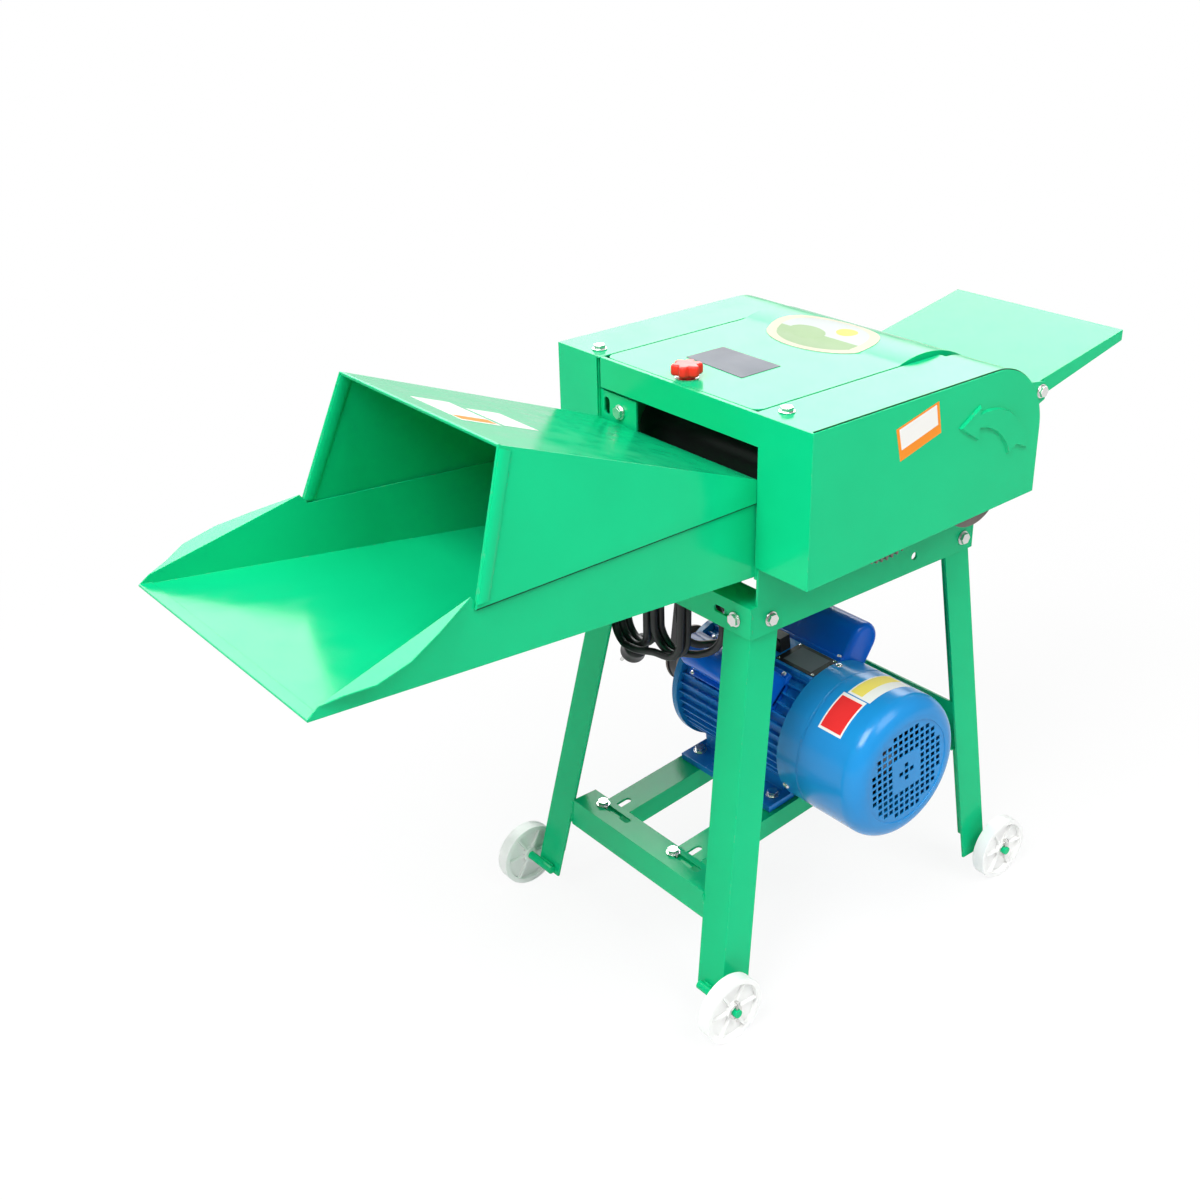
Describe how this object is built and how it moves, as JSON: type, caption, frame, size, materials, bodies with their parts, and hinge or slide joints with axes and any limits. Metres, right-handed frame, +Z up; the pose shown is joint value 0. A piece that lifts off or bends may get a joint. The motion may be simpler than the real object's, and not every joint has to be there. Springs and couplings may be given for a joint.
{
  "type": "chaff cutter",
  "caption": "Electric chaff cutter on a wheeled angle-steel stand: hooded feed trough, feed rollers, knife drum, belt-driving motor, hinged lid and tilting discharge deflector.",
  "frame": {"origin": "on the floor, under the middle of the machine's length and width", "axes": "+X from the feed trough to the discharge, +Y away from the near side with the gear cover, +Z up"},
  "size_m": [1.133, 0.4084, 0.743],
  "materials": {
    "green_paint": "glossy bright green enamel on sheet and angle steel",
    "blue_paint": "glossy mid-blue enamel on cast iron and pressed steel",
    "sky_blue_paint": "glossy light blue enamel on pressed steel",
    "black_paint": "satin black enamel",
    "zinc_steel": "bright zinc plate",
    "bare_steel": "ground and oiled steel",
    "grey_iron": "bare grey cast iron",
    "black_rubber": "matt black rubber",
    "black_plastic": "satin black moulding",
    "red_plastic": "glossy red moulding",
    "white_plastic": "satin white moulding"
  },
  "bodies": {
    "frame": {"near_side_wall": "green_paint", "far_side_wall": "green_paint", "front_rail": "green_paint", "rear_rail": "green_paint", "front_legs": "green_paint", "rear_legs": "green_paint", "front_bar": "green_paint", "rear_bar": "green_paint", "near_motor_rail": "green_paint", "far_motor_rail": "green_paint", "gear_cover": "green_paint", "belt_cover": "green_paint", "lid_hinges": "green_paint", "rear_panel": "green_paint", "roller_bracket": "green_paint", "concave": "green_paint", "trough_pan": "green_paint", "trough_hood": "green_paint", "cord_hook": "green_paint", "motor_body": "blue_paint", "motor_shield": "blue_paint", "front_capacitor": "blue_paint", "rear_capacitor": "blue_paint", "fan_cover": "sky_blue_paint", "frame_bolts": "zinc_steel", "motor_bolts": "zinc_steel", "wheel_pins": "zinc_steel", "cover_bolts": "zinc_steel", "pivot_bolts": "zinc_steel", "bed_knife": "bare_steel", "feed_springs": "bare_steel", "bearings": "grey_iron", "feed_chain": "grey_iron", "drive_belt": "black_rubber", "power_cord": "black_rubber", "cord_hank": "black_rubber", "cord_gland": "black_plastic", "plug": "black_plastic"},
    "cutter": {"main_shaft": "bare_steel", "rotor": "grey_iron", "blades": "bare_steel", "flywheel": "grey_iron", "main_pulley": "grey_iron"},
    "counter": {"countershaft": "bare_steel", "reduction_gear": "grey_iron"},
    "lower_feed": {"lower_roller": "black_paint", "lower_gear": "grey_iron"},
    "upper_carriage": {"slide_blocks": "grey_iron"},
    "upper_feed": {"upper_roller": "black_paint", "upper_gear": "grey_iron"},
    "armature": {"motor_shaft": "bare_steel", "cooling_fan": "black_plastic", "motor_pulley": "grey_iron"},
    "top_lid": {"lid": "green_paint"},
    "lid_knob": {"star_knob": "red_plastic"},
    "chute": {"deflector": "green_paint"},
    "front_near_wheel": {"wheel_front_near": "white_plastic"},
    "front_far_wheel": {"wheel_front_far": "white_plastic"},
    "rear_near_wheel": {"wheel_rear_near": "white_plastic"},
    "rear_far_wheel": {"wheel_rear_far": "white_plastic"}
  },
  "joints": [
    {"name": "cutter_spin", "type": "hinge", "parent": "frame", "child": "cutter", "pos_m": [0.2195, 0, 0.57], "axis": [0, -1, 0], "continuous": true},
    {"name": "countershaft_spin", "type": "hinge", "parent": "frame", "child": "counter", "pos_m": [0.10926, 0, 0.59343], "axis": [0, -1, 0], "continuous": true},
    {"name": "lower_feed_spin", "type": "hinge", "parent": "frame", "child": "lower_feed", "pos_m": [0.0515, 0, 0.508], "axis": [0, -1, 0], "continuous": true},
    {"name": "feed_float", "type": "slide", "parent": "frame", "child": "upper_carriage", "axis": [0, 0, 1], "range_m": [0, 0.008], "stiffness_N_per_m": 3000, "springref_m": -0.005, "deforming": ["feed_springs"]},
    {"name": "upper_feed_spin", "type": "hinge", "parent": "upper_carriage", "child": "upper_feed", "pos_m": [0.0515, 0, 0.5982], "axis": [0, -1, 0], "continuous": true},
    {"name": "motor_spin", "type": "hinge", "parent": "frame", "child": "armature", "pos_m": [0.13325, 0, 0.24722], "axis": [0, -1, 0], "continuous": true},
    {"name": "lid_hinge", "type": "hinge", "parent": "frame", "child": "top_lid", "pos_m": [0.31073, 0, 0.662], "axis": [0, 1, 0], "range_deg": [0, 95]},
    {"name": "knob_turn", "type": "hinge", "parent": "top_lid", "child": "lid_knob", "pos_m": [-0.0165, 0.003, 0.7], "axis": [0, 0, 1], "continuous": true},
    {"name": "deflector_pivot", "type": "hinge", "parent": "frame", "child": "chute", "pos_m": [0.4105, 0, 0.613], "axis": [0, 1, 0], "range_deg": [-20, 40]},
    {"name": "front_near_wheel_spin", "type": "hinge", "parent": "frame", "child": "front_near_wheel", "pos_m": [-0.1215, -0.189, 0.04], "axis": [0, -1, 0], "continuous": true},
    {"name": "front_far_wheel_spin", "type": "hinge", "parent": "frame", "child": "front_far_wheel", "pos_m": [-0.1215, 0.189, 0.04], "axis": [0, -1, 0], "continuous": true},
    {"name": "rear_near_wheel_spin", "type": "hinge", "parent": "frame", "child": "rear_near_wheel", "pos_m": [0.3405, -0.189, 0.04], "axis": [0, -1, 0], "continuous": true},
    {"name": "rear_far_wheel_spin", "type": "hinge", "parent": "frame", "child": "rear_far_wheel", "pos_m": [0.3405, 0.189, 0.04], "axis": [0, -1, 0], "continuous": true}
  ],
  "couplings": [
    {"joint": "countershaft_spin", "follows": "cutter_spin", "ratio": -0.32353},
    {"joint": "lower_feed_spin", "follows": "cutter_spin", "ratio": -0.12941},
    {"joint": "upper_feed_spin", "follows": "cutter_spin", "ratio": 0.092437},
    {"joint": "motor_spin", "follows": "cutter_spin", "ratio": 2.465}
  ]
}
